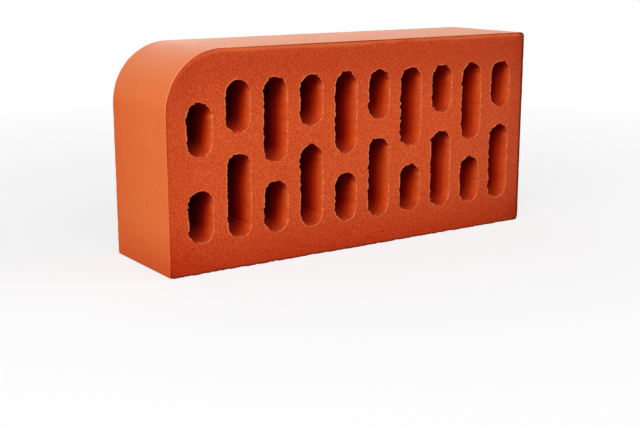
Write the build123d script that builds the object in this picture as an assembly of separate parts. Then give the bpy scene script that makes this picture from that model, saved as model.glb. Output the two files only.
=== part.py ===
from build123d import *
import os

# A perforated facing brick of fired clay, pushed through a die along Y and cut by a wire at both ends.
# The two wire-cut bed faces look along -Y and +Y. The brick stands on one long side, at Z = 0.
# All sizes are in millimetres.

# Overall size
LENGTH = 250.0
THICKNESS = 65.0
WIDTH = 120.0

# Corners of the section: the large nose, the foot below it and the two corners of the square end
NOSE_RADIUS = 33.5
FOOT_RADIUS = 1.5
ARRIS_RADIUS = 2.5

# Edges that the wire leaves round the two bed faces
CUT_EDGE_RADIUS = 0.8

# Slots through the thickness, in columns of two
COLUMNS = 10
SLOT_WIDTH = 15.0
SHORT_SLOT = 28.5

# Walls of clay: outside the long sides, outside the ends and between the two slots of a column
SHELL = 17.0
END_WALL = 11.75
BRIDGE = 11.0

# Behind the nose, the centre of the upper slot's top end lies this far below the centre of the nose
NOSE_STEP = 2.0

# Each column has a long and a short slot, which fill the width between the two shells
LONG_SLOT = WIDTH - 2 * SHELL - BRIDGE - SHORT_SLOT
SLOT_END_RADIUS = SLOT_WIDTH / 2

# The columns are spread evenly between the two end walls
FIRST_COLUMN_X = -LENGTH / 2 + END_WALL + SLOT_WIDTH / 2
COLUMN_PITCH = -2 * FIRST_COLUMN_X / (COLUMNS - 1)


def outline():
    """Section of the clay: a rectangle with three small round corners and one large one, the nose."""
    corners = [
        (-LENGTH / 2, 0),
        (LENGTH / 2, 0),
        (LENGTH / 2, WIDTH),
        (-LENGTH / 2, WIDTH),
    ]
    radii = (FOOT_RADIUS, ARRIS_RADIUS, ARRIS_RADIUS, NOSE_RADIUS)
    return make_face(FilletPolyline(*corners, radius=radii, close=True))


def slot(x, bottom, length):
    """Upright slot with round ends, from its lowest point."""
    return Pos(x, bottom + length / 2) * SlotOverall(length, SLOT_WIDTH, rotation=90)


def nose_column(x):
    """Two short slots, the upper one lowered to keep the wall behind the nose thick."""
    level_top = WIDTH - SHELL
    lowered_top = WIDTH - NOSE_RADIUS - NOSE_STEP + SLOT_END_RADIUS
    upper_top = min(level_top, lowered_top)
    return [slot(x, SHELL, SHORT_SLOT), slot(x, upper_top - SHORT_SLOT, SHORT_SLOT)]


def column(x, lower_length, upper_length):
    """Two slots, one above the other, that reach both shells."""
    upper_bottom = WIDTH - SHELL - upper_length
    return [slot(x, SHELL, lower_length), slot(x, upper_bottom, upper_length)]


def slots():
    """All slots: the long one is at the bottom of every second column."""
    found = nose_column(FIRST_COLUMN_X)
    for index in range(1, COLUMNS):
        lengths = (LONG_SLOT, SHORT_SLOT) if index % 2 else (SHORT_SLOT, LONG_SLOT)
        found += column(FIRST_COLUMN_X + index * COLUMN_PITCH, *lengths)
    return found


def clay_column():
    """The solid length of clay, with the edges of both cuts softened."""
    body = extrude(Plane.XZ * outline(), THICKNESS / 2, both=True)
    cut_edges = body.faces().filter_by(Axis.Y).edges()
    return fillet(cut_edges, CUT_EDGE_RADIUS)


def cores():
    """The bars in the die that leave the slots, longer than the brick is thick."""
    return extrude(Plane.XZ * Sketch(slots()), THICKNESS, both=True)


brick = clay_column() - cores()

os.makedirs("parts", exist_ok=True)
export_step(brick, "parts/brick.step")
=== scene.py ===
import math

import bpy
import numpy as np
from mathutils import Matrix, Vector
from mathutils.geometry import delaunay_2d_cdt


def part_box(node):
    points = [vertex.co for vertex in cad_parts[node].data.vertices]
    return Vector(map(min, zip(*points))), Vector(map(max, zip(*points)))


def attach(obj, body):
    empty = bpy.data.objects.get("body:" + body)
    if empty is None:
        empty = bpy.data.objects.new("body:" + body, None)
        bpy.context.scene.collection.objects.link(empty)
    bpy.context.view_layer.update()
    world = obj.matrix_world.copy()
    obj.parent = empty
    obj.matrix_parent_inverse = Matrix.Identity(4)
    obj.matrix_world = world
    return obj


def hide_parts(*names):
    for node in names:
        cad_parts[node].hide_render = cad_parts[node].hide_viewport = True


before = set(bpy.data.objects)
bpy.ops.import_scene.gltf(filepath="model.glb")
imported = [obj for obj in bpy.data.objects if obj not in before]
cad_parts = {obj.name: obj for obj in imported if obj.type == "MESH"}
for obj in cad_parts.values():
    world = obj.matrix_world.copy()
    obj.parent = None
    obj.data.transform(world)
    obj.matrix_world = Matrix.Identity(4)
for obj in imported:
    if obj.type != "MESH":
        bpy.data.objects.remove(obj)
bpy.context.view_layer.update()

MM = 0.001

# Sizes of the brick, from the frame
brick_low, brick_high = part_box("brick")
LENGTH, THICKNESS, WIDTH = brick_high - brick_low

# Outline of the section, as in the solid
NOSE_RADIUS = 33.5 * MM
FOOT_RADIUS = 1.5 * MM
ARRIS_RADIUS = 2.5 * MM

# Slots and the walls round them, as in the solid
COLUMNS = 10
SLOT_WIDTH = 15 * MM
SHORT_SLOT = 28.5 * MM
SHELL = 17 * MM
END_WALL = 11.75 * MM
BRIDGE = 11 * MM
NOSE_STEP = 2 * MM
LONG_SLOT = WIDTH - 2 * SHELL - BRIDGE - SHORT_SLOT
SLOT_END_RADIUS = SLOT_WIDTH / 2
FIRST_COLUMN_X = -LENGTH / 2 + END_WALL + SLOT_END_RADIUS
COLUMN_PITCH = -2 * FIRST_COLUMN_X / (COLUMNS - 1)

# The lower slots of the second and fourth columns, which have a deep scratch low on the right
SCRATCHED_SLOTS = (2, 6)

# Spacing of the mesh
RIM_STEP = 0.48 * MM
OUTLINE_STEP = 1.25 * MM
FACE_STEP = 2.9 * MM
ARC_CORNER_STEPS = 5

# Smallest radius that a corner keeps on the rings inside the outline
SMALLEST_CORNER = 0.7 * MM

# Rings round each slot: distance outside its rim on the cut face, then depth down its wall
FACE_RINGS = (2.2 * MM, 0.75 * MM, 0.3 * MM, 0.08 * MM)
WALL_RINGS = (0.04 * MM, 0.4 * MM, 0.9 * MM, 1.9 * MM, 4.5 * MM)

# Rings round the outline, as inset from the skin and depth behind the cut face:
# those on the flat of the cut face, two over its edge and those on the skin
FLAT_RINGS = [(inset * MM, 0.0) for inset in (5.0, 3.7, 2.7, 1.9, 1.25, 0.75)]
ROUND_RINGS = [(0.4 * MM, 0.02 * MM), (0.12 * MM, 0.13 * MM)]
SKIN_RINGS = [(0.0, depth * MM) for depth in (0.4, 0.8, 1.6, 3.2, 6.0, 12.0, 19.0, 26.0)]
EDGE_RINGS = FLAT_RINGS + ROUND_RINGS + SKIN_RINGS

# Seeds of the random draws. Each cut face uses its own seed and the two after it,
# the outline its own and the next, and each slot its own.
CUT_FACE_SEEDS = (10, 20)
OUTLINE_SEED = 7
FIRST_SLOT_SEED = 100
NET_SEED = 51
DARK_LINE_SEED = 61

# Finishes of the faces, in the order of the mesh's materials
WIRE_CUT, SKIN, SLOT_WALL = range(3)


def ramp(value, start, end):
    """From 0 at start to 1 at end, held at both. It falls with the value where end is the lower one."""
    return np.clip((value - start) / (end - start), 0, 1)


def bell(value, middle, width):
    """Smooth hump: 1 at the middle, and about a third at one width to each side."""
    return np.exp(-(((value - middle) / width) ** 2))


def dying(depth, reach):
    """From 1 at no depth down to about a third at the reach."""
    return np.exp(-depth / reach)


def slot_places():
    """Centre x, centre z and length of every slot."""
    level_top = WIDTH - SHELL
    nose_top = min(level_top, WIDTH - NOSE_RADIUS - NOSE_STEP + SLOT_END_RADIUS)
    places = [
        (FIRST_COLUMN_X, SHELL + SHORT_SLOT / 2, SHORT_SLOT),
        (FIRST_COLUMN_X, nose_top - SHORT_SLOT / 2, SHORT_SLOT),
    ]
    for index in range(1, COLUMNS):
        x = FIRST_COLUMN_X + index * COLUMN_PITCH
        lower, upper = (LONG_SLOT, SHORT_SLOT) if index % 2 else (SHORT_SLOT, LONG_SLOT)
        places.append((x, SHELL + lower / 2, lower))
        places.append((x, level_top - upper / 2, upper))
    return places


class Loop:
    """Points and outward normals of a closed outline in the XZ plane, with the distance run along it."""

    def __init__(self, points, normals):
        self.points = np.array(points)
        self.normals = np.array(normals)
        steps = np.linalg.norm(np.roll(self.points, -1, axis=0) - self.points, axis=1)
        self.around = steps.sum()
        self.run = np.concatenate([[0], np.cumsum(steps)[:-1]])


def rounded_loop(corners, arc_steps, line_steps):
    """Closed loop, anticlockwise, of a quarter turn and then a line for each corner.

    A corner is its centre, its radius and the angle at which its turn starts.
    """
    points, normals = [], []
    for index, (centre, radius, start) in enumerate(corners):
        for step in range(arc_steps[index]):
            angle = start + math.pi / 2 * step / arc_steps[index]
            normal = np.array((math.cos(angle), math.sin(angle)))
            points.append(centre + radius * normal)
            normals.append(normal)
        end_normal = np.array((math.cos(start + math.pi / 2), math.sin(start + math.pi / 2)))
        line_start = centre + radius * end_normal
        next_centre, next_radius, _ = corners[(index + 1) % len(corners)]
        line_end = next_centre + next_radius * end_normal
        for step in range(line_steps[index]):
            points.append(line_start + (line_end - line_start) * step / line_steps[index])
            normals.append(end_normal)
    return Loop(points, normals)


def slot_loop(x, z, length, offset=0.0):
    """A slot's outline, offset outwards."""
    half_line = (length - SLOT_WIDTH) / 2
    quarter = max(2, round(math.pi / 2 * SLOT_END_RADIUS / RIM_STEP))
    sides = round(2 * half_line / RIM_STEP)
    low_centre = np.array((x, z - half_line))
    high_centre = np.array((x, z + half_line))
    radius = SLOT_END_RADIUS + offset
    corners = [
        (low_centre, radius, -math.pi / 2),
        (high_centre, radius, 0.0),
        (high_centre, radius, math.pi / 2),
        (low_centre, radius, math.pi),
    ]
    return rounded_loop(corners, [quarter] * 4, [sides, 0, sides, 0])


def outline_loop(inset):
    """The brick's outline, from the foot below the nose, inset from the skin."""
    specs = (
        (-1, 0, FOOT_RADIUS, math.pi),
        (1, 0, ARRIS_RADIUS, -math.pi / 2),
        (1, 1, ARRIS_RADIUS, 0.0),
        (-1, 1, NOSE_RADIUS, math.pi / 2),
    )
    corners, arc_steps = [], []
    for side, top, radius, start in specs:
        inner = max(radius - inset, SMALLEST_CORNER)
        x = side * (LENGTH / 2 - inset - inner)
        z = WIDTH - inset - inner if top else inset + inner
        corners.append((np.array((x, z)), inner, start))
        arc_steps.append(max(ARC_CORNER_STEPS, round(math.pi / 2 * radius / OUTLINE_STEP)))
    sides = (LENGTH, WIDTH, LENGTH - NOSE_RADIUS, WIDTH - NOSE_RADIUS)
    return rounded_loop(corners, arc_steps, [round(side / OUTLINE_STEP) for side in sides])


def ripple(rng, places, shortest, longest, waves=36):
    """Smooth random height of about unit size at points in a plane."""
    lengths = np.exp(rng.uniform(math.log(shortest), math.log(longest), waves))
    turns = rng.uniform(0, 2 * math.pi, waves)
    starts = rng.uniform(0, 2 * math.pi, waves)
    way = np.stack([np.cos(turns), np.sin(turns)]) * 2 * math.pi / lengths
    return np.cos(places @ way + starts).sum(axis=1) * math.sqrt(2 / waves)


def along_line(distances):
    """Places on a straight line, for a ripple that changes along it alone."""
    return np.stack([distances, 0 * distances], axis=1)


def bites(rng, loop, shortest, longest, sharpness, kept=1.0):
    """Bites of random length and depth round a loop, from 0 where two meet up to 1 in the deepest.

    sharpness is above 1 for narrow bites and below 1 for broad ones. kept is the share that stays.
    """
    count = int(loop.around / ((shortest + longest) / 2))
    spans = rng.uniform(shortest, longest, count)
    ends = np.cumsum(spans) * loop.around / spans.sum()
    start = rng.uniform(0, loop.around)
    depths = rng.uniform(0.15, 1.0, count) * (rng.uniform(0, 1, count) < kept)
    at = (loop.run + start) % loop.around
    which = np.minimum(np.searchsorted(ends, at), count - 1)
    begins = np.concatenate([[0], ends[:-1]])[which]
    share = ramp(at, begins, ends[which])
    return depths[which] * np.sin(math.pi * share) ** sharpness


def below_top(places):
    """How far points (x, z) lie inside the top edge and the nose."""
    x, z = places.T
    from_nose_x, from_nose_z = x + LENGTH / 2 - NOSE_RADIUS, z - WIDTH + NOSE_RADIUS
    in_nose = (from_nose_x < 0) & (from_nose_z > 0)
    return np.where(in_nose, NOSE_RADIUS - np.hypot(from_nose_x, from_nose_z), WIDTH - z)


def inset_of(places):
    """How far points (x, z) lie inside the skin."""
    x, z = places.T
    return np.minimum(np.minimum(LENGTH / 2 - np.abs(x), z), below_top(places))


class Rim:
    """How the wire tore the mouth of one slot on one cut face, and the pale colour of its rim, which is
    partly painted highlight.
    """

    # Sizes of the large and the small bites, the burr, the beads and the rim's slow wander
    BITE = 0.8 * MM
    TOOTH = 0.8 * MM
    BURR = 0.65 * MM
    BEAD = 0.3 * MM
    WANDER = 0.10 * MM

    # How far down the slot's wall the bites, the burr, the beads and their pale colour, partly painted
    # highlight, reach
    BITE_REACH = 1.3 * MM
    BURR_REACH = 0.5 * MM
    BEAD_REACH = 0.5 * MM
    PALE_REACH = 0.2 * MM

    # Distance from the rim and width, on the cut face, of the beads' crest and of the painted highlight on
    # the tips
    CREST_OFFSET = 0.3 * MM
    CREST_WIDTH = 0.38 * MM
    TIP_OFFSET = 0.2 * MM
    TIP_WIDTH = 0.25 * MM

    # Width of the beads' pale colour on the cut face, which is partly painted highlight
    PALE_WIDTH = 0.34 * MM

    def __init__(self, rng, loop):
        right, up = loop.normals.T
        top = np.clip(up, 0, 1) ** 0.6
        low_left = np.clip(-0.8 * up - 0.6 * right, 0, 1)
        torn = 0.35 + 0.65 * top + 1.2 * low_left
        coarse = bites(rng, loop, shortest=2.4 * MM, longest=6.0 * MM, sharpness=0.7, kept=0.7)
        fine = bites(rng, loop, shortest=1.1 * MM, longest=2.8 * MM, sharpness=0.6)
        self.bite = torn * (self.BITE * coarse + self.TOOTH * fine)
        self.burr = -self.BURR * torn * (0.6 + 0.4 * rng.uniform())

        # The wire left the clay on the right. The beads' pale colour there is partly painted highlight,
        # strongest on the lower right, and inside the slot it shows only on the lit right side, below the
        # upper end
        exit_side = 0.35 + 0.65 * np.clip(right + 0.35, 0, 1)
        beads = bites(rng, loop, shortest=0.9 * MM, longest=2.6 * MM, sharpness=1.3, kept=0.7)
        self.bead = exit_side * beads
        lit_sill = np.clip(0.9 * right - 0.9 * up - 0.4, 0, 1)
        self.pale = 0.1 + 0.3 * lit_sill + 1.8 * self.bead ** 1.5
        self.lit_wall = np.clip(1.2 * right - 1.2 * up, 0, 1)

        # Between the bites, painted highlight along the rim on the left and at the top
        near_side = np.clip(0.2 - right + 0.4 * up, 0, 1)
        self.tip_highlight = near_side * np.clip(1.3 - 0.9 * fine - 0.5 * coarse, 0, 1)
        self.wander = self.WANDER * self.smooth(rng, loop, longest=6 * MM)

    @staticmethod
    def smooth(rng, loop, longest):
        """Slow random wander round a loop, of about unit size."""
        turn = 2 * math.pi * loop.run / loop.around
        count = max(2, int(loop.around / longest))
        total = np.zeros(len(turn))
        for wave in range(1, count + 1):
            total += rng.normal() * np.cos(wave * turn + rng.uniform(0, 2 * math.pi))
        return total / math.sqrt(count)

    def out_of_wall(self, depth):
        """Shift of the wall away from the slot's middle, at a depth below the cut face."""
        bite = self.bite * bell(depth, 0, self.BITE_REACH)
        burr = self.burr * bell(depth, 0, self.BURR_REACH)
        return bite + burr + self.wander

    def out_on_face(self, offset):
        """The same shift on the cut face, which dies away at the outermost ring."""
        return (self.bite + self.burr + self.wander) * (1 - offset / FACE_RINGS[0])

    def wear_on_face(self, offset):
        """Pale beads, partly painted highlight, on the side where the wire left the clay, and painted
        highlight on the rim on the other.
        """
        beads = self.pale * bell(offset, 0, self.PALE_WIDTH)
        return np.maximum(beads, self.tip_highlight * bell(offset, self.TIP_OFFSET, self.TIP_WIDTH))

    def wear_on_wall(self, depth):
        """The beads' pale colour, partly painted highlight, also shows just inside the slot on its lit side.
        """
        return self.pale * self.lit_wall * dying(depth, self.PALE_REACH)

    def lift_on_face(self, offset):
        """How far the beads stand out of the cut face."""
        return self.BEAD * self.bead * bell(offset, self.CREST_OFFSET, self.CREST_WIDTH)

    def lift_on_wall(self, depth):
        """How far they pull the wall's first rings out with them."""
        return self.lift_on_face(0.0) * dying(depth, self.BEAD_REACH)


class CutFace:
    """One wire-cut bed face. side is -1 in front and +1 behind."""

    # Mean depth behind the brick's box, and the heights of the broad and the fine unevenness
    RECESS = 0.12 * MM
    BROAD = 0.05 * MM
    FINE = 0.016 * MM

    # The band inside the nose and the top edge, where the wire came out: its width, how far it leans back,
    # and the top of the painted highlight on it
    LIP_WIDTH = 2.7 * MM
    LIP_DEPTH = 0.6 * MM
    LIP_HIGHLIGHT_TOP = 0.2

    def __init__(self, side, seed):
        self.side = side
        self.seed = seed

    def depth(self, places):
        """How far the face lies behind the plane of the box, at points (x, z)."""
        broad = ripple(np.random.default_rng(self.seed), places, 30 * MM, 110 * MM)
        fine = ripple(np.random.default_rng(self.seed + 1), places, 4 * MM, 12 * MM)
        lean = self.LIP_DEPTH * self.lip(places) ** 1.2
        return self.RECESS + self.BROAD * broad + self.FINE * fine + lean

    def lip(self, places):
        """Place across the band: 1 at the edge, 0 at its uneven inner side. It narrows down the nose."""
        x, z = places.T
        uneven = ripple(np.random.default_rng(self.seed + 2), along_line(x), 14 * MM, 80 * MM)
        rise = ramp(z, WIDTH - NOSE_RADIUS, WIDTH)
        band = self.LIP_WIDTH * (1 + 0.12 * uneven) * (0.45 + 0.55 * rise)
        return rise * ramp(below_top(places), band, 0)

    def lip_wear(self, places):
        """Painted highlight on the band, weaker round the nose."""
        nose_end = -LENGTH / 2 + NOSE_RADIUS
        past_nose = ramp(places[:, 0], nose_end - 5 * MM, nose_end + 5 * MM)
        return self.LIP_HIGHLIGHT_TOP * (0.55 + 0.4 * past_nose) * np.clip(3 * self.lip(places), 0, 1)

    def y(self, extra_depth):
        """Y of points at a depth behind the face."""
        return self.side * (THICKNESS / 2 - extra_depth)


def painted_edge_shade(places):
    """Painted shade on the cut face at points (x, z): from 0 in the middle to over 2 where darkest."""
    x, z = places.T
    inset = inset_of(places)
    left_end, right_end = -LENGTH / 2, LENGTH / 2

    # Broad bands of painted shade inside each side
    low = ramp(z, 32 * MM, 0) ** 1.2
    high = 0.6 * ramp(z, WIDTH - 38 * MM, WIDTH - 11 * MM)
    left = 0.35 * ramp(x, left_end + 27 * MM, left_end)
    right = 0.25 * ramp(x, right_end - 12 * MM, right_end - 4 * MM)

    # A thin line of painted shade along the edge itself, broken in places, strongest at the foot, and a
    # thicker one on the right
    broken = ripple(np.random.default_rng(DARK_LINE_SEED), along_line(x), 3 * MM, 25 * MM)
    strength = 0.4 + 0.6 * np.clip(broken + 0.7, 0, 1)
    line = ramp(inset, 1.2 * MM, 0.4 * MM)
    foot = 2.4 * strength * (z < 4 * MM)
    past_nose = ramp(x, left_end + 45 * MM, left_end + 85 * MM)
    top = (0.6 + 0.75 * past_nose * strength) * (z > WIDTH / 2)
    arris = 2.4 * ramp(x, right_end - 5 * MM, right_end - 2 * MM) * ramp(inset, 2.2 * MM, 1.2 * MM)
    return low + high + left + right + arris + line * (0.35 + foot + top)


class Surface:
    """Vertices and faces of the brick, with a finish for each face, and for each vertex its wear with
    painted highlight and its painted shade.
    """

    def __init__(self):
        self.blocks, self.wear, self.shade, self.faces, self.finishes = [], [], [], [], []
        self.count = 0

    def add(self, x, y, z, wear=0.0, shade=0.0):
        """Adds points and gives their numbers."""
        block = np.stack(np.broadcast_arrays(x, y, z), axis=1)
        self.blocks.append(block)
        self.wear.append(np.broadcast_to(wear, len(block)))
        self.shade.append(np.broadcast_to(shade, len(block)))
        first = self.count
        self.count += len(block)
        return np.arange(first, self.count)

    def strip(self, one, two, finish):
        """Quads between two closed rings with as many points."""
        quads = np.stack([one, np.roll(one, -1), np.roll(two, -1), two], axis=1)
        self.faces += quads.tolist()
        self.finishes += [finish] * len(quads)

    def triangles(self, corners, finish):
        self.faces += corners.tolist()
        self.finishes += [finish] * len(corners)

    def mesh(self, name):
        points = np.concatenate(self.blocks)
        mesh = bpy.data.meshes.new(name)
        mesh.from_pydata(points.tolist(), [], self.faces)
        mesh.polygons.foreach_set("material_index", np.array(self.finishes, dtype=np.int32))
        mesh.polygons.foreach_set("use_smooth", np.ones(len(self.faces), dtype=bool))
        layers = {
            "wear": np.concatenate(self.wear),
            "shade": np.concatenate(self.shade),
            "edge_shade": painted_edge_shade(points[:, [0, 2]]),
        }
        for label, values in layers.items():
            layer = mesh.attributes.new(label, "FLOAT", "POINT")
            layer.data.foreach_set("value", values.astype(np.float32))
        mesh.update()
        return mesh


# Ridges and grooves that run down the slots' walls, and how soon below the mouth they start
DRAG_MARKS = 5
DRAG_START = 1.5 * MM


def drag_marks(rng, loop, scratched):
    """Shift of a slot's wall where grit on the core dragged grooves along the run of the clay."""
    marks = [
        (rng.uniform(0, loop.around), rng.uniform(-0.05, 0.12) * MM, rng.uniform(0.5, 1.2) * MM)
        for _ in range(DRAG_MARKS)
    ]
    if scratched:
        low_right = loop.run[np.argmax(loop.normals[:, 0])]
        marks.append((low_right - 1.0 * MM, 0.3 * MM, 0.5 * MM))
        marks.append((low_right - 2.2 * MM, -0.15 * MM, 0.6 * MM))
    total = np.zeros(len(loop.run))
    for place, depth, half_width in marks:
        away = np.abs(loop.run - place)
        away = np.minimum(away, loop.around - away)
        total += depth * bell(away, 0, half_width)
    return total


# Distances below a slot's upper end where painted shade on its wall starts on the way up, and is darkest
SHADE_START = 20 * MM
SHADE_FULL = 8 * MM


def add_slot(surface, faces, place, seed, scratched):
    """Rings from the front face down the wall to the back face. Gives the outermost ring on each face."""
    loop = slot_loop(*place)
    rng = np.random.default_rng(seed)
    rims = [Rim(rng, loop), Rim(rng, loop)]
    drag = drag_marks(rng, loop, scratched)
    heights = loop.points[:, 1]
    # Painted shade on the wall below the slot's upper end
    shade = ramp(heights.max() - heights, SHADE_START, SHADE_FULL)
    rings = []
    for face, rim in zip(faces, rims):
        found = []
        for offset in FACE_RINGS:
            points = loop.points + loop.normals * (offset + rim.out_on_face(offset))[:, None]
            depth = face.depth(points) - rim.lift_on_face(offset)
            wear = rim.wear_on_face(offset)
            found.append(surface.add(points[:, 0], face.y(depth), points[:, 1], wear))
        mouth = face.depth(loop.points)
        for depth in WALL_RINGS:
            out = rim.out_of_wall(depth) + drag * (1 - dying(depth, DRAG_START))
            points = loop.points + loop.normals * out[:, None]
            y = face.y(mouth + depth - rim.lift_on_wall(depth))
            found.append(surface.add(points[:, 0], y, points[:, 1], rim.wear_on_wall(depth), shade))
        rings.append(found)
    front, back = rings
    on_face = len(FACE_RINGS)
    for one, two in zip(front[:on_face], front[1:]):
        surface.strip(one, two, WIRE_CUT)
    walls = front[on_face:] + back[on_face:][::-1]
    for one, two in zip(walls, walls[1:]):
        surface.strip(one, two, SLOT_WALL)
    for one, two in zip(back[1:], back[:on_face]):
        surface.strip(one, two, WIRE_CUT)
    return front[0], back[0]


# Chips along the outline: their depth all round, what the foot adds to it, and how far they reach
CHIP = 0.084 * MM
FOOT_CHIP = 0.35 * MM
CHIP_REACH = 1.3 * MM

# The cut face's unevenness and the chips die away down the skin, which has shallow hollows of its own
SKIN_START = 1.5 * MM
SKIN_HOLLOW = 0.04 * MM

# Depth down the skin where the painted highlight along the edge is brightest, and the width of that band
EDGE_HIGHLIGHT_DEPTH = 0.4 * MM
EDGE_HIGHLIGHT_WIDTH = 0.3 * MM


def add_outline(surface, faces, seed):
    """Rings from the front face round the skin to the back face. Gives the innermost ring on each face."""
    loops = [outline_loop(inset) for inset, _ in EDGE_RINGS]
    skin = loops[-1]
    up = skin.normals[:, 1]
    # Painted highlight along the skin's edge, stronger where the skin faces up
    edge_highlight_strength = 0.25 + 0.75 * np.clip(2 * up, 0, 1)
    rng = np.random.default_rng(seed)
    hollow = 1 + ripple(np.random.default_rng(seed + 1), along_line(skin.run), 20 * MM, 80 * MM)
    rings = []
    for face in faces:
        crumbs = bites(rng, skin, shortest=1.4 * MM, longest=5.5 * MM, sharpness=0.8, kept=0.75)
        chip = (CHIP + FOOT_CHIP * np.clip(-up, 0, 1)) * crumbs
        found = []
        for (inset, depth), loop in zip(EDGE_RINGS, loops):
            cut = chip * bell(math.hypot(inset, depth), 0, CHIP_REACH)
            points = loop.points - loop.normals * cut[:, None]
            fade = dying(depth, SKIN_START)
            y = face.y(depth + (face.depth(points) + cut) * fade)
            if inset:
                wear = face.lip_wear(points)
            else:
                wear = edge_highlight_strength * bell(depth, EDGE_HIGHLIGHT_DEPTH, EDGE_HIGHLIGHT_WIDTH)
                points = points - loop.normals * (SKIN_HOLLOW * hollow * (1 - fade))[:, None]
            found.append(surface.add(points[:, 0], y, points[:, 1], wear))
        rings.append(found)
    front, back = rings
    ordered = front + back[::-1]
    cut_strips = len(FLAT_RINGS) + len(ROUND_RINGS) - 1
    skin_strips = len(ordered) - 1 - 2 * cut_strips
    finishes = [WIRE_CUT] * cut_strips + [SKIN] * skin_strips + [WIRE_CUT] * cut_strips
    for one, two, finish in zip(ordered, ordered[1:], finishes):
        surface.strip(two, one, finish)
    return front[0], back[0]


# Shares of the net's spacing: how far its points are shifted, and the gap that they keep from the rings
NET_SHIFT = 0.22
NET_GAP = 0.45

# Share of the width of the widest ring round a slot. A triangle of the net whose middle is nearer
# to the slot goes. Below 1, slivers between points of that ring stay, doubled over the strip beside it.
NET_CUT = 0.9


def clear_of_slots(points, gap):
    """True for points further than gap outside every slot."""
    clear = np.ones(len(points), dtype=bool)
    for x, z, length in slot_places():
        half_line = (length - SLOT_WIDTH) / 2
        dz = np.abs(points[:, 1] - z) - half_line
        away = np.hypot(points[:, 0] - x, np.maximum(dz, 0))
        clear &= away > SLOT_END_RADIUS + gap
    return clear


def scattered_points():
    """Points of an uneven triangular net, clear of the rings round the slots and the outline."""
    rows = np.arange(0, WIDTH, FACE_STEP * math.sqrt(3) / 2)
    columns = np.arange(-LENGTH / 2, LENGTH / 2, FACE_STEP)
    x, z = np.meshgrid(columns, rows)
    x = x + (np.arange(len(rows)) % 2)[:, None] * FACE_STEP / 2
    points = np.stack([x.ravel(), z.ravel()], axis=1)
    points += np.random.default_rng(NET_SEED).uniform(-NET_SHIFT, NET_SHIFT, points.shape) * FACE_STEP
    gap = NET_GAP * FACE_STEP
    inside = inset_of(points) > FLAT_RINGS[0][0] + gap
    return points[clear_of_slots(points, FACE_RINGS[0] + gap) & inside]


def face_net(loose):
    """Triangles between the rings and the loose points, as numbers of places on a flat face.

    The places are those of the outline's innermost ring, of each slot's outermost ring and the loose points.
    """
    rings = [outline_loop(FLAT_RINGS[0][0]).points]
    rings += [slot_loop(*place, offset=FACE_RINGS[0]).points for place in slot_places()]
    places = np.concatenate(rings + [loose])
    edges, first = [], 0
    for ring in rings:
        numbers = np.arange(first, first + len(ring))
        edges += np.stack([numbers, np.roll(numbers, -1)], axis=1).tolist()
        first += len(ring)

    # In millimetres, to suit the tolerance. Output type 1 has the triangles inside the outline alone.
    found = delaunay_2d_cdt([Vector(place) for place in places / MM], edges, [], 1, 1e-6, False)
    corners = np.array(found[2])

    # Those across the slots go
    middles = places[corners].mean(axis=1)
    corners = corners[clear_of_slots(middles, NET_CUT * FACE_RINGS[0])]

    # All turn the same way round
    flat = places[corners]
    one, two = flat[:, 1] - flat[:, 0], flat[:, 2] - flat[:, 0]
    clockwise = one[:, 0] * two[:, 1] - one[:, 1] * two[:, 0] < 0
    corners[clockwise] = corners[clockwise][:, ::-1]
    return corners


def add_face_middles(surface, faces, outline_rings, slot_rings):
    """Triangles between the outline's and the slots' rings, the same net on both cut faces."""
    loose = scattered_points()
    corners = face_net(loose)
    for index, face in enumerate(faces):
        known = np.concatenate([outline_rings[index]] + [rings[index] for rings in slot_rings])
        y = face.y(face.depth(loose))
        numbers = surface.add(loose[:, 0], y, loose[:, 1], face.lip_wear(loose))
        lookup = np.concatenate([known, numbers])
        turned = corners if face.side < 0 else corners[:, ::-1]
        surface.triangles(lookup[turned], WIRE_CUT)


def brick_mesh():
    surface = Surface()
    faces = [CutFace(side, seed) for side, seed in zip((-1, 1), CUT_FACE_SEEDS)]
    outline_rings = add_outline(surface, faces, OUTLINE_SEED)
    slot_rings = [
        add_slot(surface, faces, place, FIRST_SLOT_SEED + number, number in SCRATCHED_SLOTS)
        for number, place in enumerate(slot_places())
    ]
    add_face_middles(surface, faces, outline_rings, slot_rings)
    return surface.mesh("brick_body")


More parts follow.
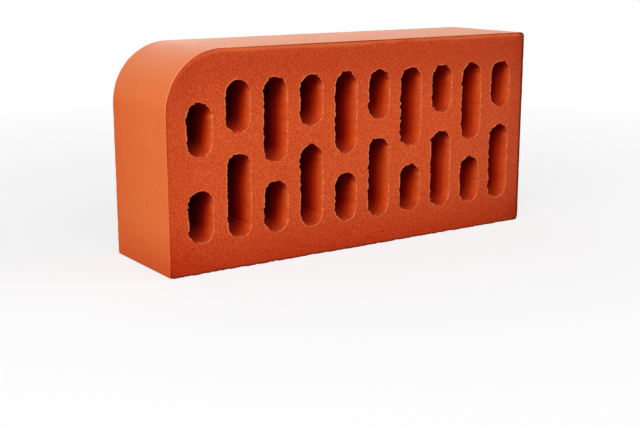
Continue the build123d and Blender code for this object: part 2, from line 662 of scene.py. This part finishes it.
class Nodes:
    """Short way to build a material's node tree."""

    # Turn of the noise's own grid, in radians. A grid in line with a flat face makes its noise uneven.
    GRID_TURN = (0.5, 0.7, 0.3)

    def __init__(self, name):
        self.material = bpy.data.materials.new(name)
        self.material.use_nodes = True
        self.tree = self.material.node_tree
        self.tree.nodes.clear()
        self.place = self.add("ShaderNodeTexCoord").outputs["Object"]

    def add(self, kind, **values):
        node = self.tree.nodes.new(kind)
        for name, value in values.items():
            setattr(node, name, value)
        return node

    def link(self, out, into):
        self.tree.links.new(out, into)

    def attribute(self, name):
        """One of the mesh's own values: wear with painted highlight, painted shade in the slots, painted
        shade along the cut faces' edges.
        """
        return self.add("ShaderNodeAttribute", attribute_name=name).outputs["Fac"]

    def noise(self, size, detail=2.0, stretch=(1, 1, 1)):
        """Noise whose features are about size metres across, from 0 to 1."""
        mapping = self.add("ShaderNodeMapping")
        mapping.inputs["Scale"].default_value = [1 / s for s in stretch]
        mapping.inputs["Rotation"].default_value = self.GRID_TURN
        self.link(self.place, mapping.inputs["Vector"])
        node = self.add("ShaderNodeTexNoise")
        node.inputs["Scale"].default_value = 1 / size
        node.inputs["Detail"].default_value = detail
        self.link(mapping.outputs["Vector"], node.inputs["Vector"])
        return node.outputs["Fac"]

    def between(self, value, from_low, from_high, low, high):
        """value mapped from one range to another, held at its ends."""
        node = self.add("ShaderNodeMapRange")
        self.link(value, node.inputs["Value"])
        numbers = {"From Min": from_low, "From Max": from_high, "To Min": low, "To Max": high}
        for name, number in numbers.items():
            node.inputs[name].default_value = number
        return node.outputs["Result"]

    def mix(self, factor, one, two, blend="MIX"):
        """Colour mix. one and two are colours or outputs."""
        node = self.add("ShaderNodeMix", data_type="RGBA", blend_type=blend)
        for value, socket in ((factor, node.inputs[0]), (one, node.inputs[6]), (two, node.inputs[7])):
            if isinstance(value, bpy.types.NodeSocket):
                self.link(value, socket)
            elif isinstance(value, tuple):
                socket.default_value = (*value, 1.0)
            else:
                socket.default_value = value
        return node.outputs[2]

    def part(self, vector, name):
        """One of the parts X, Y and Z of a vector."""
        apart = self.add("ShaderNodeSeparateXYZ")
        self.link(vector, apart.inputs[0])
        return apart.outputs[name]

    def up(self):
        """How far the surface faces upwards: 1 on top, 0 on upright sides, -1 below."""
        return self.part(self.add("ShaderNodeNewGeometry").outputs["Normal"], "Z")

    def math(self, operation, one, two=0.0):
        node = self.add("ShaderNodeMath", operation=operation)
        for value, socket in zip((one, two), node.inputs):
            if isinstance(value, bpy.types.NodeSocket):
                self.link(value, socket)
            else:
                socket.default_value = value
        return node.outputs[0]

    def blend_heights(self, one, two, share):
        """Sum of two heights, of which the first has the share and the second the rest."""
        return self.math("ADD", self.math("MULTIPLY", one, share), self.math("MULTIPLY", two, 1 - share))

    def finish(self, colour, roughness, height, bump_distance, specular):
        shader = self.add("ShaderNodeBsdfPrincipled")
        self.link(colour, shader.inputs["Base Color"])
        self.link(roughness, shader.inputs["Roughness"])
        shader.inputs["Specular IOR Level"].default_value = specular
        bump = self.add("ShaderNodeBump")
        bump.inputs["Distance"].default_value = bump_distance
        self.link(height, bump.inputs["Height"])
        self.link(bump.outputs["Normal"], shader.inputs["Normal"])
        output = self.add("ShaderNodeOutputMaterial")
        self.link(shader.outputs["BSDF"], output.inputs["Surface"])
        return self.material


def mix_wear_and_highlight(nodes, colour, light, low=0.0, high=1.0, amount=1.0, blend="MIX"):
    """Blends light into the colour as the mesh's value of wear and painted highlight rises from low to high.
    """
    return nodes.mix(nodes.between(nodes.attribute("wear"), low, high, 0, amount), colour, light, blend)


# Colours of the cut clay, in linear red, green and blue. The pairs are the clay between the grains
# and the grains: in the middle of the face, near its lower edge and near its upper edge.
MIDDLE_CLAY = ((0.63, 0.043, 0.0005), (0.85, 0.158, 0.048))
# The next two pairs are darker as painted shade, near the lower and the upper edge
LOW_SHADED_CLAY = ((0.43, 0.015, 0.0004), (0.65, 0.058, 0.012))
HIGH_SHADED_CLAY = ((0.37, 0.018, 0.0005), (0.57, 0.067, 0.018))
# Painted shade towards the right end of the cut face
RIGHT_SHADE = (0.82, 0.83, 1.0)
FINE_GRAIN = (0.55, 0.045, 0.008)
CUT_MOTTLE = (0.60, 0.06, 0.01)
PIT = (0.36, 0.014, 0.001)
# Painted highlight on the band along the top edge and the nose
LIP_HIGHLIGHT_COLOUR = (0.69, 0.140, 0.045)
# Painted shade along the edges, as a thin dark line
EDGE_SHADE_LINE = (0.16, 0.012, 0.004)
# Pale rims of the slots: partly torn clay, partly painted highlight
TORN_CLAY_AND_HIGHLIGHT = (1.0, 0.28, 0.105)


def wire_cut_clay():
    """Sandy cut clay: coarse and fine grains over slow mottling, with painted shade that makes it darker and
    redder near the outer edges.
    """
    nodes = Nodes("wire_cut_clay")
    mottle = nodes.noise(14 * MM, detail=3)
    grain = nodes.noise(0.5 * MM, detail=1)
    fine = nodes.noise(0.4 * MM, detail=1)
    edge_shade = nodes.attribute("edge_shade")
    bright = nodes.between(grain, 0.39, 0.61, 0, 1)
    middle, low, high = (nodes.mix(bright, *pair) for pair in (MIDDLE_CLAY, LOW_SHADED_CLAY, HIGH_SHADED_CLAY))
    rise = nodes.between(nodes.part(nodes.place, "Z"), 0.3 * WIDTH, 0.7 * WIDTH, 0, 1)
    # Painted shade where the edge shade value rises
    colour = nodes.mix(edge_shade, middle, nodes.mix(rise, low, high))
    # Painted shade towards the right end
    to_the_right = nodes.between(nodes.part(nodes.place, "X"), LENGTH / 4, LENGTH / 2, 0, 1)
    colour = nodes.mix(to_the_right, colour, RIGHT_SHADE, "MULTIPLY")
    colour = nodes.mix(nodes.between(fine, 0.4, 0.7, 0, 0.25), colour, FINE_GRAIN)
    colour = nodes.mix(nodes.between(mottle, 0.35, 0.7, 0, 0.2), colour, CUT_MOTTLE)
    colour = nodes.mix(nodes.between(nodes.noise(1.4 * MM, detail=1), 0.66, 0.74, 0, 0.35), colour, PIT)
    # Painted highlight on the band along the top edge and the nose
    colour = mix_wear_and_highlight(nodes, colour, LIP_HIGHLIGHT_COLOUR, high=CutFace.LIP_HIGHLIGHT_TOP, amount=0.75)
    # Painted shade lines along the edges
    colour = nodes.mix(nodes.between(edge_shade, 1.1, 2.4, 0, 0.9), colour, EDGE_SHADE_LINE)
    # Pale rims of the slots, partly painted highlight
    colour = mix_wear_and_highlight(nodes, colour, TORN_CLAY_AND_HIGHLIGHT, low=CutFace.LIP_HIGHLIGHT_TOP)
    height = nodes.blend_heights(grain, fine, 0.6)
    rough = nodes.between(grain, 0.3, 0.7, 0.82, 0.95)
    return nodes.finish(colour, rough, height, bump_distance=0.28 * MM, specular=0.1)


# Colours of the skin. The pair is mixed in soft clouds.
SKIN_CLOUDS = ((0.855, 0.184, 0.044), (0.895, 0.210, 0.059))
DRAG_LINE = (0.88, 0.20, 0.055)
SKIN_GRAIN = (0.73, 0.115, 0.023)
# Painted shade low on the skin
FOOT_SHADE = (0.64, 0.062, 0.0125)
# Painted shade towards the back of the skin
BACK_SHADE = (0.74, 0.12, 0.025)
# Painted shade that sets in as the skin turns from the upright end towards the top
TURNING_SHADE = (0.61, 0.152, 0.032)
# Painted sheen on the top, where the skin faces up
PAINTED_SHEEN = (0.97, 0.41, 0.23)
# Painted highlight along the skin's edges
EDGE_HIGHLIGHT = (0.35, 0.16, 0.10)

# Height up to which the painted shade at the foot reaches, and where on Y the painted shade towards the back
# starts
FOOT_SHADE_TOP = 26 * MM
BACK_SHADE_START = -5 * MM


def extruded_skin():
    """Smooth skin from the die, with faint drag lines along the run of the clay, a painted sheen on top, and
    painted shade low down, towards the back and where it turns round the nose.
    """
    nodes = Nodes("extruded_skin")
    cloud = nodes.noise(14 * MM, detail=3)
    drag = nodes.noise(1.6 * MM, detail=2, stretch=(1, 14, 1))
    fine = nodes.noise(0.6 * MM, detail=1)
    colour = nodes.mix(nodes.between(cloud, 0.3, 0.7, 0, 1), *SKIN_CLOUDS)
    colour = nodes.mix(nodes.between(drag, 0.3, 0.7, 0, 0.25), colour, DRAG_LINE)
    colour = nodes.mix(nodes.between(fine, 0.38, 0.62, 0, 0.65), colour, SKIN_GRAIN)
    z = nodes.part(nodes.place, "Z")
    # Painted shade low down and towards the back
    colour = nodes.mix(nodes.between(z, 0, FOOT_SHADE_TOP, 0.7, 0), colour, FOOT_SHADE)
    y = nodes.part(nodes.place, "Y")
    colour = nodes.mix(nodes.between(y, BACK_SHADE_START, THICKNESS / 2, 0, 0.5), colour, BACK_SHADE)

    # turn goes from 0 on the upright end, round the nose, to 1 on the top
    turn = nodes.math("DIVIDE", nodes.math("ARCSINE", nodes.up()), math.pi / 2)
    # Painted shade that sets in as the skin turns towards the top
    colour = nodes.mix(nodes.between(turn, 0.0, 0.3, 0, 0.6), colour, TURNING_SHADE)
    # Painted sheen near the top, stronger towards the back
    amount = nodes.between(y, -THICKNESS / 2, THICKNESS / 2, 0.45, 0.78)
    late_turn = nodes.math("POWER", nodes.math("MAXIMUM", turn, 0.0), 6.0)
    colour = nodes.mix(nodes.math("MULTIPLY", late_turn, amount), colour, PAINTED_SHEEN)
    # Painted highlight along the skin's edges
    colour = mix_wear_and_highlight(nodes, colour, EDGE_HIGHLIGHT, blend="ADD")
    height = nodes.blend_heights(drag, fine, 0.5)
    rough = nodes.between(cloud, 0.3, 0.7, 0.34, 0.42)
    return nodes.finish(colour, rough, height, bump_distance=0.06 * MM, specular=0.06)


# Colours inside the slots. The pair is mixed in drag lines.
SLOT_LINES = ((0.78, 0.107, 0.022), (0.93, 0.150, 0.036))
SLOT_MOTTLE = (0.70, 0.09, 0.015)
# Painted shade under a slot's upper end
UNDER_END_SHADE = (0.75, 0.42, 0.30)
# Painted shade on the slots' ceilings
SLOT_CEILING_SHADE = (0.32, 0.003, 0.0004)
SLOT_FLOOR = (0.41, 0.030, 0.0065)
# Pale beads just inside the slots: partly bead clay, partly painted highlight
BEAD_CLAY_AND_HIGHLIGHT = (0.98, 0.29, 0.11)

# Painted shade down a slot: depths below the mouth where each darker colour starts and is full
SLOT_DEPTH_SHADES = (
    (1 * MM, 8 * MM, (0.82, 0.072, 0.0075)),
    (6 * MM, 13 * MM, (0.55, 0.018, 0.0007)),
    (11 * MM, 21 * MM, (0.17, 0.001, 0.0001)),
)

# Depths below the mouth where the painted shade under a slot's upper end starts and is full
UNDER_END_START = 2 * MM
UNDER_END_FULL = 6 * MM


def slot_clay():
    """Inside of the slots: smooth dragged clay, with painted shade that makes it darker and redder away from
    the mouths, under the upper ends and on the ceilings.
    """
    nodes = Nodes("slot_clay")
    cloud = nodes.noise(6 * MM, detail=2)
    lines = nodes.noise(0.8 * MM, detail=2, stretch=(1, 20, 1))
    colour = nodes.mix(nodes.between(lines, 0.3, 0.7, 0, 1), *SLOT_LINES)
    colour = nodes.mix(nodes.between(cloud, 0.3, 0.7, 0, 0.3), colour, SLOT_MOTTLE)
    across = nodes.math("ABSOLUTE", nodes.part(nodes.place, "Y"))
    half = THICKNESS / 2
    # Painted shade down the slot
    for start, full, darker in SLOT_DEPTH_SHADES:
        colour = nodes.mix(nodes.between(across, half - start, half - full, 0, 1), colour, darker)
    deep = nodes.between(across, half - UNDER_END_START, half - UNDER_END_FULL, 0, 1)
    # Painted shade under the slot's upper end
    under_end = nodes.math("MULTIPLY", nodes.attribute("shade"), deep)
    colour = nodes.mix(under_end, colour, UNDER_END_SHADE, "MULTIPLY")
    up = nodes.up()
    # Painted shade on the ceilings, which face down. The upward-facing floors turn a darker red.
    colour = nodes.mix(nodes.between(up, 0.0, -0.6, 0, 0.95), colour, SLOT_CEILING_SHADE)
    colour = nodes.mix(nodes.between(up, 0.2, 0.8, 0, 0.7), colour, SLOT_FLOOR)
    # Pale beads near the mouths, partly painted highlight
    colour = mix_wear_and_highlight(nodes, colour, BEAD_CLAY_AND_HIGHLIGHT)
    rough = nodes.between(cloud, 0.3, 0.7, 0.8, 0.9)
    return nodes.finish(colour, rough, lines, bump_distance=0.04 * MM, specular=0.04)


def add_brick():
    mesh = brick_mesh()
    for material in (wire_cut_clay(), extruded_skin(), slot_clay()):
        mesh.materials.append(material)
    brick = bpy.data.objects.new("brick_fired", mesh)
    bpy.context.scene.collection.objects.link(brick)
    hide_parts("brick")
    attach(brick, "root")


# The camera, fitted to the brick's edges: angles in degrees, lens and sensor in millimetres
CAMERA_AZIMUTH = -34.3
CAMERA_ELEVATION = 12.86
CAMERA_DISTANCE = 0.680
CAMERA_LENS = 63.9
SENSOR_WIDTH = 36
AIM_LEFT = 6.2 * MM
AIM_DOWN = 44.8 * MM

BRICK_MIDDLE = Vector((0, 0, WIDTH / 2))


def direction(azimuth, elevation):
    """Unit vector from the brick, for angles in degrees. Azimuth 0 is in front, where -Y is."""
    azimuth, elevation = math.radians(azimuth), math.radians(elevation)
    return Vector((
        math.sin(azimuth) * math.cos(elevation),
        -math.cos(azimuth) * math.cos(elevation),
        math.sin(elevation),
    ))


def add_camera():
    """Camera in front of the nose, aimed below the brick's middle: the brick sits high in the picture."""
    back = direction(CAMERA_AZIMUTH, CAMERA_ELEVATION)
    right = direction(CAMERA_AZIMUTH + 90, 0)
    up = back.cross(right)
    aim = BRICK_MIDDLE - right * AIM_LEFT - up * AIM_DOWN
    data = bpy.data.cameras.new("camera")
    data.lens = CAMERA_LENS
    data.sensor_width = SENSOR_WIDTH
    camera = bpy.data.objects.new("camera", data)
    camera.matrix_world = Matrix((right, up, back)).transposed().to_4x4()
    camera.location = aim + back * CAMERA_DISTANCE
    bpy.context.scene.collection.objects.link(camera)
    bpy.context.scene.camera = camera


def add_area(name, azimuth, elevation, distance, size, power, mirrored=True):
    """Square soft lamp that looks at the brick's middle. mirrored: it shows in glossy surfaces."""
    way = direction(azimuth, elevation)
    data = bpy.data.lights.new(name, "AREA")
    data.size = size
    data.energy = power
    lamp = bpy.data.objects.new(name, data)
    lamp.location = BRICK_MIDDLE + way * distance
    lamp.rotation_euler = way.to_track_quat("Z", "Y").to_euler()
    lamp.visible_camera = False
    lamp.visible_glossy = mirrored
    bpy.context.scene.collection.objects.link(lamp)


def add_lights():
    """Soft lamps: three from the left round to the front, one on the right and one behind.

    The side lamp is low, and its mirror image would glare along the top when seen from the right.
    """
    add_area("key", azimuth=-50, elevation=35, distance=1.0, size=0.4, power=3.4)
    add_area("side", azimuth=-78, elevation=6, distance=1.0, size=0.6, power=5.5, mirrored=False)
    add_area("front", azimuth=-15, elevation=30, distance=1.0, size=0.6, power=2.7)
    add_area("fill_right", azimuth=50, elevation=30, distance=1.0, size=0.6, power=3.8)
    add_area("rear", azimuth=178, elevation=38, distance=1.2, size=1.0, power=2.6)


# Strength of the world's even light on the surfaces
WORLD_LIGHT = 0.22


def add_world():
    """White to the camera and in reflections, a dimmer even light on the surfaces."""
    world = bpy.data.worlds.new("studio")
    world.use_nodes = True
    bpy.context.scene.world = world
    tree = world.node_tree
    tree.nodes.clear()
    path = tree.nodes.new("ShaderNodeLightPath")
    seen = path.outputs["Is Camera Ray"]
    for ray in ("Is Transmission Ray", "Is Glossy Ray"):
        either = tree.nodes.new("ShaderNodeMath")
        either.operation = "MAXIMUM"
        tree.links.new(seen, either.inputs[0])
        tree.links.new(path.outputs[ray], either.inputs[1])
        seen = either.outputs[0]
    mix = tree.nodes.new("ShaderNodeMixShader")
    tree.links.new(seen, mix.inputs["Fac"])
    for socket, strength in ((mix.inputs[1], WORLD_LIGHT), (mix.inputs[2], 1.0)):
        background = tree.nodes.new("ShaderNodeBackground")
        background.inputs["Color"].default_value = (1, 1, 1, 1)
        background.inputs["Strength"].default_value = strength
        tree.links.new(background.outputs[0], socket)
    output = tree.nodes.new("ShaderNodeOutputWorld")
    tree.links.new(mix.outputs[0], output.inputs["Surface"])


# The floor's size, its grey for the light that it throws back and for the camera, how much of the shadow
# shows, and the distance from the brick round which it blends into even white
FLOOR_SIZE = 60.0
FLOOR_COLOUR = 0.18
FLOOR_TO_CAMERA = 0.85
FLOOR_SHADOW_SHARE = 0.3
SHADOW_REACH = 0.35


def add_floor():
    """Pale floor that keeps the brick's shadow. To the camera it is even white away from the brick."""
    half = FLOOR_SIZE / 2
    corners = [(-half, -half, 0), (half, -half, 0), (half, half, 0), (-half, half, 0)]
    mesh = bpy.data.meshes.new("floor")
    mesh.from_pydata(corners, [], [(0, 1, 2, 3)])
    nodes = Nodes("pale_floor")
    seen = nodes.add("ShaderNodeLightPath").outputs["Is Camera Ray"]
    diffuse = nodes.add("ShaderNodeBsdfDiffuse")
    grey = nodes.mix(seen, (FLOOR_COLOUR,) * 3, (FLOOR_TO_CAMERA,) * 3)
    nodes.link(grey, diffuse.inputs["Color"])
    even = nodes.add("ShaderNodeEmission")
    even.inputs["Strength"].default_value = 1.0
    away = nodes.add("ShaderNodeVectorMath", operation="LENGTH")
    nodes.link(nodes.place, away.inputs[0])
    near, far = 0.5 * SHADOW_REACH, 2 * SHADOW_REACH
    share = nodes.between(away.outputs["Value"], near, far, 1 - FLOOR_SHADOW_SHARE, 1)
    mix = nodes.add("ShaderNodeMixShader")
    nodes.link(nodes.math("MULTIPLY", seen, share), mix.inputs["Fac"])
    nodes.link(diffuse.outputs[0], mix.inputs[1])
    nodes.link(even.outputs[0], mix.inputs[2])
    output = nodes.add("ShaderNodeOutputMaterial")
    nodes.link(mix.outputs[0], output.inputs["Surface"])
    mesh.materials.append(nodes.material)
    floor = bpy.data.objects.new("floor", mesh)
    bpy.context.scene.collection.objects.link(floor)


add_brick()
add_camera()
add_lights()
add_world()
add_floor()
bpy.context.scene.view_settings.view_transform = "Standard"
